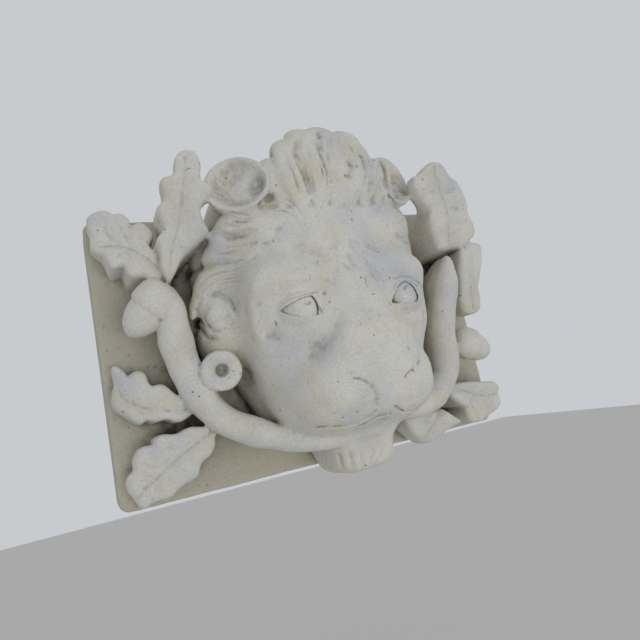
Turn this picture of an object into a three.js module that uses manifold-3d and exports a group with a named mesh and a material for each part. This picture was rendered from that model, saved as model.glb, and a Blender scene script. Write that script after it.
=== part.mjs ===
// A lion head fountain mask, carved from one block of stone: a flat back plate, a lion's head
// in high relief, and an oak branch with leaves and acorns that the lion holds in its jaws.
// Millimetres, +Z up. The origin is the middle of the plate's flat back, and the lion looks
// along -Y. Points on the carving are given as x, depth in front of the plate, and z.
import * as THREE from "three";
import Module from "manifold-3d";
import { ParametricGeometry } from "three/addons/geometries/ParametricGeometry.js";
import { mergeVertices } from "three/addons/utils/BufferGeometryUtils.js";

const plateWidth = 600;
const plateHeight = 380;
const plateThickness = 60;
const wornCorner = 16; // radius of the weathered corners
const edgeRounding = 4; // the plate's front edges

const branchRadius = 21; // upper stems, and it narrows towards the jaws
const jawRadius = 14;
const acornLength = 74;
const acornRadius = 25;
const buttonRadius = 26; // the empty acorn cup on the left stem
const earRadius = 40;
const eyeRadius = 25;

const headGrid = 15; // squares along each side of the grid laid over the head
const headCentre = [0, 20, 5];
const reach = 420; // farther from the head's centre than any of its surface

const wasm = await Module();
wasm.setup();

function at([x, depth, z]) {
  return new THREE.Vector3(x, -plateThickness - depth, z);
}

function mirrored([x, depth, z]) {
  return [-x, depth, z];
}

function solidOf(geometry) {
  const bare = geometry.clone();
  bare.deleteAttribute("normal");
  bare.deleteAttribute("uv");
  const merged = mergeVertices(bare, 0.001);
  const corners = [];
  const index = merged.index.array;
  for (let i = 0; i < index.length; i += 3) {
    const [a, b, c] = [index[i], index[i + 1], index[i + 2]];
    if (a !== b && b !== c && c !== a) corners.push(a, b, c);
  }
  const make = (triVerts) =>
    new wasm.Manifold(
      new wasm.Mesh({
        numProp: 3,
        vertProperties: merged.attributes.position.array,
        triVerts: new Uint32Array(triVerts),
      }),
    );
  const solid = make(corners);
  return solid.volume() > 0 ? solid : make(corners.reverse());
}

function geometryOf(solid) {
  const mesh = solid.getMesh();
  const geometry = new THREE.BufferGeometry();
  geometry.setAttribute("position", new THREE.BufferAttribute(mesh.vertProperties, 3));
  geometry.setIndex(new THREE.BufferAttribute(mesh.triVerts, 1));
  geometry.computeVertexNormals();
  return geometry;
}

// The back plate, with its worn corners.
function plate() {
  const [w, h, r] = [plateWidth / 2, plateHeight / 2, wornCorner];
  const outline = new THREE.Shape();
  outline.moveTo(-w + r, -h);
  outline.lineTo(w - r / 2, -h);
  outline.quadraticCurveTo(w, -h, w, -h + r / 2);
  outline.lineTo(w, h - r / 2);
  outline.quadraticCurveTo(w, h, w - r / 2, h);
  outline.lineTo(-w + r, h);
  outline.quadraticCurveTo(-w, h, -w, h - r);
  outline.lineTo(-w, -h + r);
  outline.quadraticCurveTo(-w, -h, -w + r, -h);
  const slab = new THREE.ExtrudeGeometry(outline, {
    depth: plateThickness - edgeRounding,
    curveSegments: 4,
    bevelThickness: edgeRounding,
    bevelSize: edgeRounding,
    bevelOffset: -edgeRounding,
    bevelSegments: 1,
  });
  slab.rotateX(Math.PI / 2);
  const bevelled = solidOf(slab);
  const behind = new THREE.BoxGeometry(plateWidth * 2, plateThickness, plateHeight * 2);
  behind.translate(0, plateThickness / 2, 0);
  return bevelled.subtract(solidOf(behind));
}

// The head is a blend of rounded masses. Each has a centre, three half-lengths and a power:
// 2 is an ellipsoid, and a higher power is blockier. Those with a pair are on both sides.
const headMasses = [
  { centre: [0, 28, 72], size: [132, 114, 120], power: 2.6 }, // skull and forehead
  { centre: [16, 84, 172], size: [92, 58, 84], power: 2.5 }, // the mane's crown
  { centre: [10, 24, 150], size: [96, 60, 88], power: 2.3 }, // the mane behind the crown
  { centre: [0, 10, 40], size: [150, 60, 180], power: 2.4 }, // the mane behind the face
  { centre: [0, 58, -12], size: [116, 92, 106], power: 2.5 }, // the face
  { centre: [90, 92, 30], size: [40, 50, 56], pair: true }, // temples
  { centre: [78, 90, -20], size: [46, 52, 52], pair: true }, // cheekbones
  { centre: [48, 58, -86], size: [60, 68, 58], power: 2.4, pair: true }, // jaws
  { centre: [60, 132, 60], size: [46, 24, 18], pair: true }, // brows
  { centre: [0, 122, 34], size: [28, 30, 48] }, // between the eyes
  { centre: [0, 114, -14], size: [36, 52, 44], power: 2.4 }, // bridge of the nose
  { centre: [0, 126, -58], size: [44, 60, 38], power: 2.6 }, // nose
  { centre: [42, 114, -98], size: [51, 60, 44], power: 2.2, pair: true }, // whisker pads
  { centre: [0, 106, -112], size: [28, 38, 20] }, // middle of the upper lip
  { centre: [2, 60, -166], size: [42, 52, 38], power: 2.3 }, // chin with its tuft
  { centre: [120, 30, 96], size: [50, 56, 66], pair: true }, // mane beside the face
  { centre: [104, 68, 168], size: [36, 50, 44], pair: true }, // roots of the ears
];
const blend = 22; // how far two masses melt into each other

function allMasses() {
  const masses = [];
  for (const mass of headMasses) {
    masses.push(mass);
    if (mass.pair) masses.push({ ...mass, centre: mirrored(mass.centre) });
  }
  return masses;
}
const masses = allMasses();

function distanceToMass({ centre, size, power = 2 }, point) {
  let sum = 0;
  for (let i = 0; i < 3; i += 1) sum += Math.abs((point[i] - centre[i]) / size[i]) ** power;
  return (sum ** (1 / power) - 1) * Math.min(...size);
}

function distanceToHead(point) {
  let distance = reach;
  for (const mass of masses) {
    const next = distanceToMass(mass, point);
    const overlap = Math.max(blend - Math.abs(distance - next), 0) / blend;
    distance = Math.min(distance, next) - (overlap * overlap * blend) / 4;
  }
  return distance;
}

function headSurface(direction) {
  const pointAt = (t) => headCentre.map((value, i) => value + direction[i] * t);
  let outside = reach;
  const stride = 6;
  while (distanceToHead(pointAt(outside - stride)) > 0) outside -= stride;
  let inside = outside - stride;
  for (let i = 0; i < 12; i += 1) {
    const middle = (inside + outside) / 2;
    if (distanceToHead(pointAt(middle)) > 0) outside = middle;
    else inside = middle;
  }
  return pointAt(inside);
}

function head() {
  const grid = new THREE.BoxGeometry(2, 2, 2, headGrid, headGrid, headGrid);
  const corner = new THREE.Vector3();
  const places = grid.attributes.position;
  for (let i = 0; i < places.count; i += 1) {
    corner.fromBufferAttribute(places, i).normalize();
    const moved = at(headSurface([corner.x, -corner.y, corner.z]));
    places.setXYZ(i, moved.x, moved.y, moved.z);
  }
  return solidOf(grid);
}

// A tapered stem along a smooth path, closed at both ends. Its section is an ellipse, or, where
// it reaches farther behind than in front, a half ellipse on a web that narrows to the plate.
function stem(points, { width, height, behind = height, front = [0, 1, 0], steps, sides }) {
  const path = new THREE.CatmullRomCurve3(points.map(at));
  const outward = new THREE.Vector3(front[0], -front[1], front[2]).normalize();
  const across = new THREE.Vector3();
  const raised = new THREE.Vector3();
  const surface = (u, v, target) => {
    const tangent = path.getTangent(u);
    across.crossVectors(tangent, outward).normalize();
    raised.crossVectors(across, tangent);
    path.getPoint(u, target);
    const depth = -target.y - plateThickness;
    const turn = 2 * Math.PI * (v % 1); // the seam closes exactly
    const face = Math.sin(turn);
    const rise = face > 0 ? height(u) : behind(u, depth);
    const narrowed = face < 0 && rise > height(u) ? 1 + 0.4 * face : 1;
    target.addScaledVector(across, width(u) * narrowed * Math.cos(turn));
    target.addScaledVector(raised, rise * face);
  };
  return solidOf(new ParametricGeometry(surface, steps, sides));
}

// Rounds the two ends of a stem off to a point.
function ends(u, blunt = 0.12) {
  const near = Math.min(u, 1 - u) / blunt;
  return near >= 1 ? 1 : Math.sqrt(Math.max(0, near * (2 - near)));
}

function branch() {
  const left = [
    [-222, 66, 78],
    [-214, 60, 45],
    [-211, 52, 5],
    [-204, 50, -35],
    [-190, 50, -72],
    [-165, 54, -106],
    [-122, 68, -132],
    [-85, 80, -146],
    [-31, 100, -151],
  ];
  const right = [
    [5, 108, -147],
    [62, 96, -137],
    [96, 82, -136],
    [128, 72, -134],
    [156, 64, -120],
    [180, 60, -96],
    [194, 60, -30],
    [206, 76, 28],
    [220, 84, 82],
  ];
  const thickness = (u) => {
    const fromJaws = Math.min(1, Math.abs(u - 0.5) / 0.3);
    return (jawRadius + (branchRadius - jawRadius) * fromJaws) * ends(u, 0.05);
  };
  const web = (u, depth) => (depth + 6) * ends(u, 0.05);
  return stem([...left, ...right], {
    width: thickness,
    height: thickness,
    behind: web,
    steps: 33,
    sides: 8,
  });
}

// An oak leaf: it widens from its stalk to a blunt tip, with rounded lobes on both sides of a
// sunk midrib. The two halves differ in width. It stands on the plate up to its rooted share,
// and beyond that its back lifts clear.
function leaf({ base, middle, tip, halves, lobes = 3, facing = [0, 1, 0], rooted = 0.8 }) {
  const front = 10;
  const free = 20;
  const midrib = new THREE.QuadraticBezierCurve3(at(base), at(middle), at(tip));
  const outward = new THREE.Vector3(facing[0], -facing[1], facing[2]).normalize();
  const across = new THREE.Vector3();
  const raised = new THREE.Vector3();
  const halfWidth = (u, side) => {
    const stalk = 0.3 + 0.7 * THREE.MathUtils.smoothstep(u, 0, 0.5);
    const blunt = Math.sqrt(1 - Math.max(0, (u - 0.55) / 0.45) ** 2.4);
    const phase = lobes * u + (side > 0 ? 0.4 : 0);
    const lobe = 0.66 + 0.34 * Math.abs(Math.sin(Math.PI * phase)) ** 0.6;
    return halves[side > 0 ? 1 : 0] * stalk * blunt * lobe;
  };
  const surface = (u, v, target) => {
    const tangent = midrib.getTangent(u);
    across.crossVectors(tangent, outward).normalize();
    raised.crossVectors(across, tangent).normalize();
    const turn = 2 * Math.PI * (v % 1);
    const side = Math.cos(turn);
    const face = Math.sin(turn);
    const closed = ends(u, 0.08);
    const spread = Math.sign(side) * Math.abs(side) ** 0.7 * halfWidth(u, side) * closed;
    const fold = 1 - 0.5 * Math.exp(-((side / 0.3) ** 2)); // sunk along the midrib
    const level = Math.sign(face) * Math.abs(face) ** 0.45 * closed;
    midrib.getPoint(u, target);
    const toPlate = -target.y - plateThickness + 6;
    const lifting = THREE.MathUtils.smoothstep(u, rooted - 0.3, rooted + 0.2);
    const back = THREE.MathUtils.lerp(toPlate, free, lifting);
    target.addScaledVector(across, spread);
    target.addScaledVector(raised, face > 0 ? front * level * fold : back * level);
  };
  return solidOf(new ParametricGeometry(surface, 15, 8));
}

const leaves = [
  { base: [-206, 66, 68], middle: [-196, 88, 160], tip: [-180, 144, 220], // beside the left ear
    halves: [30, 34], lobes: 4, facing: [-0.2, 1, -0.5], rooted: 0.5 },
  { base: [-214, 56, 82], middle: [-238, 74, 122], tip: [-290, 28, 160], // in the plate's corner
    halves: [36, 58] },
  { base: [-194, 40, -76], middle: [-246, 50, -68], tip: [-296, 10, -18], halves: [26, 34] },
  { base: [-178, 42, -114], middle: [-226, 60, -130], tip: [-290, 8, -172],
    halves: [44, 38], lobes: 4 },
  { base: [216, 72, 68], middle: [218, 104, 150], tip: [172, 146, 212], // beside the right ear
    halves: [40, 50], lobes: 4, facing: [0.2, 1, -0.5], rooted: 0.5 },
  { base: [228, 74, 96], middle: [262, 106, 60], tip: [266, 42, -18], halves: [26, 20] },
  { base: [186, 44, -104], middle: [250, 56, -138], tip: [304, 22, -154], halves: [38, 36] },
  { base: [156, 48, -130], middle: [142, 60, -164], tip: [120, 36, -200], halves: [30, 27] },
];

// An acorn: a lathe turned about its length, from its stalk to its point.
function acorn(stalk, tip) {
  const r = acornRadius;
  const profile = [
    [0, 0],
    [0.55, 0.02],
    [0.86, 0.12],
    [1, 0.27],
    [1.02, 0.42],
    [0.9, 0.45],
    [0.86, 0.62],
    [0.66, 0.8],
    [0.34, 0.93],
    [0.12, 0.98],
    [0, 1],
  ].map(([across, along]) => new THREE.Vector2(across * r, along * acornLength));
  return turned(profile, stalk, tip, 10);
}

function turned(profile, from, to, sides) {
  const geometry = new THREE.LatheGeometry(profile, sides);
  const axis = at(to).sub(at(from)).normalize();
  geometry.applyQuaternion(
    new THREE.Quaternion().setFromUnitVectors(new THREE.Vector3(0, 1, 0), axis),
  );
  const start = at(from);
  geometry.translate(start.x, start.y, start.z);
  return solidOf(geometry);
}

// The empty cup on the left stem, with its raised rim and the small hollow.
function button() {
  const r = buttonRadius;
  const profile = [
    [0, 0],
    [0.8, 0],
    [0.92, 0.9],
    [1, 1.5],
    [0.84, 1.75],
    [0.5, 1.62],
    [0.34, 1.5],
    [0.26, 1.2],
    [0, 1.15],
  ].map(([across, along]) => new THREE.Vector2(across * r, along * r));
  return turned(profile, [-160, 36, -38], [-167, 80, -44], 12);
}

// A cupped ear: its hollow looks forward, outward and a little up.
function ear(side) {
  const r = earRadius;
  const profile = [
    [0, -0.75],
    [0.6, -0.62],
    [0.95, -0.2],
    [1.04, 0.22],
    [1, 0.42],
    [0.86, 0.4],
    [0.62, 0.08],
    [0, -0.12],
  ].map(([across, along]) => new THREE.Vector2(across * r, along * r));
  const height = side > 0 ? 190 : 182; // the right ear sits a little higher
  const looksAt = [side * 132, 150, height + 4];
  return turned(profile, [side * 114, 112, height], looksAt, 11);
}

// An eyeball in its socket, between two lids.
function eye(side) {
  const ball = new THREE.SphereGeometry(eyeRadius, 12, 8);
  ball.scale(1, 1, 0.86);
  const middle = at([side * 75, 133, 8]);
  ball.translate(middle.x, middle.y, middle.z);
  const corners = { outer: [side * 103, 132, 2], inner: [side * 48, 142, 0] };
  const lid = (top) =>
    stem([corners.outer, [side * 94, 146, top * 0.8], [side * 76, 156, top], corners.inner], {
      width: (u) => 5 * ends(u, 0.3),
      height: (u) => 4 * ends(u, 0.3),
      steps: 6,
      sides: 5,
    });
  return [solidOf(ball), lid(25), lid(-9)];
}

// Cuts under the nose, up the middle of the lip, and into the dark of the mouth.
const creases = [
  { path: [[-46, 174, -72], [-34, 176, -84], [-18, 170, -95], [2, 154, -102]], width: 4 },
  { path: [[46, 174, -72], [34, 176, -84], [18, 170, -95], [-2, 154, -102]], width: 4 },
  { path: [[0, 168, -88], [0, 162, -104], [0, 158, -120], [0, 148, -136]], width: 4 },
];

function crease({ path, width }) {
  const deep = (u) => width * ends(u, 0.3);
  return stem(path, { width: deep, height: (u) => 2 * deep(u), steps: 6, sides: 5 });
}

function mouthHollow() {
  const hollow = new THREE.SphereGeometry(1, 10, 6);
  hollow.scale(30, 34, 11);
  const middle = at([2, 134, -138]);
  hollow.translate(middle.x, middle.y, middle.z);
  return solidOf(hollow);
}

// Locks of the mane. Each starts at the hairline, and its front is away from the stone.
const crownLocks = [
  { path: [[-54, 126, 140], [-64, 130, 180], [-64, 112, 216], [-56, 60, 220]], width: 17 },
  { path: [[-34, 136, 138], [-48, 140, 188], [-42, 126, 236], [-34, 66, 240]], width: 18 },
  { path: [[-18, 138, 136], [-14, 144, 196], [-20, 128, 250], [-4, 70, 258]], width: 18 },
  { path: [[2, 140, 138], [18, 146, 194], [10, 134, 250], [24, 74, 264]], width: 19 },
  { path: [[16, 140, 136], [36, 146, 190], [50, 130, 248], [54, 72, 260]], width: 19 },
  { path: [[38, 136, 138], [62, 140, 184], [64, 126, 236], [80, 68, 246]], width: 18 },
  { path: [[54, 126, 140], [82, 130, 182], [94, 110, 222], [98, 62, 226]], width: 17 },
];
const sideLocks = [
  { path: [[62, 132, 131], [92, 123, 135], [128, 104, 138], [156, 78, 120]], width: 16 },
  { path: [[74, 130, 114], [106, 116, 121], [138, 88, 118], [168, 60, 94]], width: 15 },
  { path: [[88, 126, 92], [116, 106, 98], [148, 76, 92], [180, 48, 62]], width: 14 },
  { path: [[106, 110, 70], [132, 84, 78], [160, 62, 70], [186, 42, 30]], width: 15 },
  { path: [[112, 84, 46], [136, 68, 54], [156, 60, 36], [152, 46, 2]], width: 19 },
];

function lock({ path, width }, side = 1) {
  const points = side > 0 ? path : path.map(mirrored);
  const [start, finish] = [points[1], points[2]];
  return stem(points, {
    width: (u) => width * ends(u, 0.35),
    height: (u) => width * 0.72 * ends(u, 0.35),
    front: [(start[0] + finish[0]) / 400, 1, Math.max(0, (start[2] + finish[2]) / 400 - 0.3)],
    steps: 6,
    sides: 6,
  });
}

function mask() {
  let face = head();
  for (const cut of [...creases.map(crease), mouthHollow()]) face = face.subtract(cut);
  const carved = [
    face,
    branch(),
    button(),
    acorn([-220, 66, 68], [-272, 40, 14]),
    acorn([214, 62, -50], [287, 50, -84]),
    ear(-1),
    ear(1),
    ...eye(-1),
    ...eye(1),
    ...leaves.map(leaf),
    ...crownLocks.map((one) => lock(one)),
    ...sideLocks.map((one) => lock(one, 1)),
    ...sideLocks.map((one) => lock(one, -1)),
  ];
  let block = plate();
  for (const piece of carved) block = block.add(piece);
  const wall = new THREE.BoxGeometry(plateWidth * 2, reach, reach * 3);
  wall.translate(0, reach / 2, 0);
  return block.subtract(solidOf(wall)); // nothing passes the plate's back
}

const limestone = new THREE.MeshStandardMaterial({
  color: "#cdcbc2",
  roughness: 0.92,
  metalness: 0,
});

const group = new THREE.Group();
const carving = new THREE.Mesh(geometryOf(mask()), limestone);
carving.name = "lion_mask";
group.add(carving);

export default group;
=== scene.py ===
import math
import bpy
import bmesh
import numpy as np
from mathutils import Matrix, Vector, noise
from mathutils.bvhtree import BVHTree
from mathutils.kdtree import KDTree


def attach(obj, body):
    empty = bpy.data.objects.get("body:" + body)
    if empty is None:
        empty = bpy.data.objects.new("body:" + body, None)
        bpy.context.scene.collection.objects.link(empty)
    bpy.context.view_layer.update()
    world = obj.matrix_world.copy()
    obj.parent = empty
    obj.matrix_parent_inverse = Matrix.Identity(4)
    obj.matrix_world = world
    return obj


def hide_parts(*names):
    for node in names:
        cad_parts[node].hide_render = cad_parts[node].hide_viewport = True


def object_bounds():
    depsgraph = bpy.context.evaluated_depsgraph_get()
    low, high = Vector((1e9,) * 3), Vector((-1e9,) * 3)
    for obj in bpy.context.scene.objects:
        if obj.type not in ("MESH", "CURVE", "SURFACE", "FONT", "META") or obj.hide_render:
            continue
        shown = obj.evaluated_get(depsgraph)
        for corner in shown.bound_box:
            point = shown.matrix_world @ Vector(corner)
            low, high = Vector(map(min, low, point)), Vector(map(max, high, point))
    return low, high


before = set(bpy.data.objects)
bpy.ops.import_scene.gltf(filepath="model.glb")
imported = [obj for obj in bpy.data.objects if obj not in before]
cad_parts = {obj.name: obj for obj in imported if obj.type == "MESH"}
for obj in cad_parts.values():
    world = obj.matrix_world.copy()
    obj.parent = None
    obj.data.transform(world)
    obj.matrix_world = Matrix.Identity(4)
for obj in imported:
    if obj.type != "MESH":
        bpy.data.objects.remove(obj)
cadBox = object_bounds()
print("frame loaded")

# A stone lion mask on a back plate. Lengths are in millimetres until place() or toFrame() turns
# them into metres. A point on the carving is x, depth in front of the plate, z.
plate = {"width": 600, "height": 380, "thickness": 60, "corner": 13, "edge": 5}

stoneMesh = {
    "voxel": 1.6,  # grid that fuses the forms into one skin
    "triangles": 150000,  # kept before the fine places are divided again
    "fineEdge": 1.1,  # longest edge in the fine places
}

view = {  # where the photograph was taken from, in metres
    "place": (-0.3211, -0.7554, -0.1121),
    "axis": (0.43114, 0.88683, 0.16629),
    "right": (0.89517, -0.39732, -0.20202),
    "up": (0.11309, -0.23595, 0.96516),
    "focal": 507,  # in pixels of a picture 640 wide
    "size": 640,
}


def place(x, depth, z):
    return Vector((x / 1000, -(plate["thickness"] + depth) / 1000, z / 1000))


def toFrame(points):
    points = np.asarray(points, float)
    return np.stack([points[:, 0], -plate["thickness"] - points[:, 1], points[:, 2]], 1) / 1000


def mirrored(point):
    return (-point[0], point[1], point[2])


def smoothStep(x, low, high):
    t = np.clip((x - low) / (high - low), 0, 1)
    return t * t * (3 - 2 * t)


def spline(points, t):
    # a smooth path through the points, t from 0 to 1
    points = np.asarray(points, float)
    padded = np.vstack([2 * points[0] - points[1], points, 2 * points[-1] - points[-2]])
    place01 = np.clip(np.asarray(t, float), 0, 1) * (len(points) - 1)
    k = np.minimum(place01.astype(int), len(points) - 2)
    f = (place01 - k)[:, None]
    a, b, c, d = padded[k], padded[k + 1], padded[k + 2], padded[k + 3]
    cubic = 2 * b + (c - a) * f + (2 * a - 5 * b + 4 * c - d) * f**2
    return 0.5 * (cubic + (3 * b - a - 3 * c + d) * f**3)


def roundedEnds(u, blunt=0.12):
    near = np.clip(np.minimum(u, 1 - u) / blunt, 0, 1)
    return np.sqrt(np.maximum(near * (2 - near), 0))


# The forms are roughed out one by one and collected in one block.
block = bmesh.new()


def addForm(form):
    bmesh.ops.recalc_face_normals(form, faces=form.faces)
    rough = bpy.data.meshes.new("rough")
    form.to_mesh(rough)
    form.free()
    block.from_mesh(rough)
    bpy.data.meshes.remove(rough)


def moveTo(form, points):
    for vert, point in zip(form.verts, points):
        vert.co = point


def plateForm():
    form = bmesh.new()
    bmesh.ops.create_cube(form, size=1)
    size = (plate["width"], plate["thickness"], plate["height"])
    bmesh.ops.scale(form, vec=[s / 1000 for s in size], verts=form.verts)
    bmesh.ops.translate(form, vec=(0, -plate["thickness"] / 2000, 0), verts=form.verts)
    upright = [e for e in form.edges if abs(e.verts[0].co.y - e.verts[1].co.y) > 0.01]
    bmesh.ops.bevel(form, geom=upright, offset=plate["corner"] / 1000, segments=4,
                    profile=0.5, affect="EDGES", material=-1)
    front = [e for e in form.edges if all(v.co.y < -plate["thickness"] / 1000 + 1e-4 for v in e.verts)]
    bmesh.ops.bevel(form, geom=front, offset=plate["edge"] / 1000, segments=3,
                    profile=0.5, affect="EDGES", material=-1)
    addForm(form)


# The head is a blend of rounded masses: centre, three half-lengths, and a power, where 2 is an
# ellipsoid and a higher power is blockier. A pair is on both sides. Tilt turns a mass to face up.
head = {
    "centre": (0, 20, 5),
    "reach": 420,
    "blend": 30,
    "masses": [
        {"centre": (0, 28, 72), "size": (130, 112, 118), "power": 2.6},  # skull
        {"centre": (0, 56, 92), "size": (106, 86, 74), "power": 2.3},  # forehead
        {"centre": (16, 80, 168), "size": (90, 56, 80), "power": 2.5},  # crown of the mane
        {"centre": (10, 24, 150), "size": (96, 60, 88), "power": 2.3},  # mane behind the crown
        {"centre": (0, 10, 40), "size": (150, 60, 180), "power": 2.4},  # mane behind the face
        {"centre": (0, 56, -12), "size": (114, 88, 104), "power": 2.4},  # face
        {"centre": (90, 90, 30), "size": (40, 50, 56), "pair": True},  # temples
        {"centre": (78, 88, -20), "size": (46, 50, 52), "pair": True},  # cheekbones
        {"centre": (48, 58, -86), "size": (60, 68, 58), "power": 2.4, "pair": True},  # jaws
        {"centre": (62, 126, 52), "size": (44, 24, 16), "pair": True},  # brows
        {"centre": (0, 112, 40), "size": (30, 34, 44)},  # between the eyes
        {"centre": (0, 112, -14), "size": (37, 50, 46), "power": 3.2, "tilt": 22},  # nose's flat top
        {"centre": (0, 119, -42), "size": (48, 54, 36), "power": 4, "tilt": 25},  # and wider below
        {"centre": (0, 124, -64), "size": (49, 60, 28), "power": 3.4},  # nose's front
        {"centre": (42, 112, -100), "size": (52, 60, 44), "power": 2.3, "pair": True},  # whisker pads
        {"centre": (0, 106, -112), "size": (28, 38, 20)},  # middle of the upper lip
        {"centre": (2, 54, -172), "size": (45, 52, 33), "power": 3.2},  # chin with its tuft
        {"centre": (120, 30, 96), "size": (50, 56, 66), "pair": True},  # mane beside the face
        {"centre": (104, 68, 168), "size": (36, 50, 44), "pair": True},  # roots of the ears
        {"centre": (150, 30, 0), "size": (26, 36, 34), "pair": True},  # curls beside the cheeks
    ],
}


def distanceToHead(points):
    nearest = np.full(len(points), float(head["reach"]))
    for mass in head["masses"]:
        centres = [mass["centre"]]
        if mass.get("pair"):
            centres.append(mirrored(mass["centre"]))
        power = mass.get("power", 2)
        tilt = math.radians(mass.get("tilt", 0))
        for centre in centres:
            away = points - centre
            depth = away[:, 1] * math.cos(tilt) + away[:, 2] * math.sin(tilt)
            rise = away[:, 2] * math.cos(tilt) - away[:, 1] * math.sin(tilt)
            scaled = np.abs(np.stack([away[:, 0], depth, rise], 1) / mass["size"]) ** power
            gap = (scaled.sum(1) ** (1 / power) - 1) * min(mass["size"])
            overlap = np.maximum(head["blend"] - np.abs(nearest - gap), 0) / head["blend"]
            nearest = np.minimum(nearest, gap) - overlap**2 * head["blend"] / 4
    return nearest


def headForm():
    form = bmesh.new()
    bmesh.ops.create_icosphere(form, subdivisions=7, radius=1)
    ways = np.array([v.co for v in form.verts])
    ways = np.stack([ways[:, 0], -ways[:, 1], ways[:, 2]], 1)
    centre = np.array(head["centre"], float)
    away = np.full(len(ways), float(head["reach"]))
    for _ in range(60):  # walks in from outside until it meets the surface
        gap = distanceToHead(centre + ways * away[:, None])
        away -= np.where(gap > 0.05, np.maximum(gap * 0.9, 0.05), 0)
    moveTo(form, toFrame(centre + ways * away[:, None]))
    addForm(form)


def stemForm(points, width, height, behind=None, front=(0, 1, 0), steps=60, sides=24):
    # A tapered stem along a path. Behind, it can reach back to the plate as a web.
    form = bmesh.new()
    bmesh.ops.create_grid(form, x_segments=steps, y_segments=sides, size=0.5)
    grid = np.array([v.co for v in form.verts])
    u = np.clip(grid[:, 0] + 0.5, 0, 1)
    turn = 2 * np.pi * np.round((grid[:, 1] + 0.5) % 1, 6)
    line = toFrame(points) * 1000
    centre = spline(line, u)
    along = spline(line, u + 0.004) - spline(line, u - 0.004)
    along /= np.linalg.norm(along, axis=1)[:, None]
    outward = np.array([front[0], -front[1], front[2]], float)
    across = np.cross(along, outward / np.linalg.norm(outward))
    across /= np.linalg.norm(across, axis=1)[:, None]
    raised = np.cross(across, along)
    depth = -centre[:, 1] - plate["thickness"]
    face = np.sin(turn)
    back = height(u) if behind is None else behind(u, depth)
    rise = np.where(face > 0, height(u), back)
    narrowed = np.where((face < 0) & (back > height(u)), 1 + 0.4 * face, 1)
    skin = centre + across * (width(u) * narrowed * np.cos(turn))[:, None]
    skin += raised * (rise * face)[:, None]
    moveTo(form, skin / 1000)
    bmesh.ops.remove_doubles(form, verts=form.verts, dist=1e-5)
    addForm(form)


def turnedForm(profile, start, end, steps=40, squash=(1, 1)):
    # A profile of (radius, height) turned about the line from start to end.
    form = bmesh.new()
    line = [form.verts.new((r / 1000, 0, h / 1000)) for r, h in profile]
    edges = [form.edges.new(pair) for pair in zip(line, line[1:])]
    bmesh.ops.spin(form, geom=line + edges, axis=(0, 0, 1), cent=(0, 0, 0),
                   steps=steps, angle=2 * math.pi, use_merge=True)
    bmesh.ops.remove_doubles(form, verts=form.verts, dist=1e-5)
    bmesh.ops.scale(form, vec=(squash[0], squash[1], 1), verts=form.verts)
    axis = place(*end) - place(*start)
    turn = axis.to_track_quat("Z", "Y").to_matrix().to_4x4()
    bmesh.ops.transform(form, matrix=Matrix.Translation(place(*start)) @ turn, verts=form.verts)
    addForm(form)


branch = {
    "radius": 21,
    "atJaws": 14,
    "path": [(-222, 66, 78), (-214, 60, 45), (-211, 52, 5), (-204, 50, -35), (-190, 50, -72),
             (-165, 54, -106), (-122, 68, -132), (-85, 80, -146), (-31, 100, -151),
             (5, 108, -147), (62, 96, -137), (96, 82, -136), (128, 72, -134), (156, 64, -120),
             (180, 60, -96), (194, 60, -30), (206, 76, 28), (220, 84, 82)],
}


def branchForm():
    def thickness(u):
        fromJaws = np.minimum(1, np.abs(u - 0.5) / 0.3)
        knots = 1 + 0.05 * np.sin(u * 61) + 0.03 * np.sin(u * 113 + 1)
        return (branch["atJaws"] + (branch["radius"] - branch["atJaws"]) * fromJaws) * knots * roundedEnds(u, 0.1)

    stemForm(branch["path"], thickness, thickness,
             behind=lambda u, depth: (depth + 6) * roundedEnds(u, 0.1), steps=160, sides=32)


def acornForm(start, end, radius=25, length=74):
    profile = [(0, 0), (0.55, 0.02), (0.8, 0.08), (0.96, 0.19), (1.01, 0.32), (1.02, 0.42),
               (0.97, 0.46), (0.88, 0.47), (0.88, 0.58), (0.8, 0.72), (0.62, 0.85), (0.36, 0.94),
               (0.14, 0.98), (0, 1)]
    turnedForm([(r * radius, h * length) for r, h in profile], start, end)


def buttonForm(radius=26):
    profile = [(0, 0), (0.78, 0), (0.86, 0.6), (0.95, 1.1), (1, 1.45), (0.96, 1.64), (0.84, 1.72),
               (0.7, 1.68), (0.5, 1.62), (0.36, 1.55), (0.3, 1.3), (0.2, 1.12), (0, 1.08)]
    turnedForm([(r * radius, h * radius) for r, h in profile], (-160, 36, -38), (-167, 80, -44))


def earForm(side, radius=40):
    # a shallow cup with a thin rim, drawn out to a soft point
    profile = [(0, -0.75), (0.6, -0.62), (0.95, -0.2), (1.03, 0.1), (1.04, 0.3), (1.0, 0.4),
               (0.95, 0.39), (0.86, 0.28), (0.68, 0.14), (0.45, 0.04), (0.2, 0), (0, 0)]
    height = 188 if side > 0 else 182
    turnedForm([(r * radius, h * radius) for r, h in profile],
               (side * 114, 112, height), (side * 132, 150, height + 4), squash=(1.04, 0.94))


eye = {"place": (75, 135, 8), "ball": 25, "lids": (31, 29, 25)}


def eyeForm(side):
    # the lids' dome, from which the opening is cut later
    form = bmesh.new()
    bmesh.ops.create_uvsphere(form, u_segments=48, v_segments=32, radius=0.001)
    bmesh.ops.scale(form, vec=eye["lids"], verts=form.verts)
    x, depth, z = eye["place"]
    bmesh.ops.translate(form, vec=place(side * x, depth - 1, z), verts=form.verts)
    addForm(form)


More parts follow.
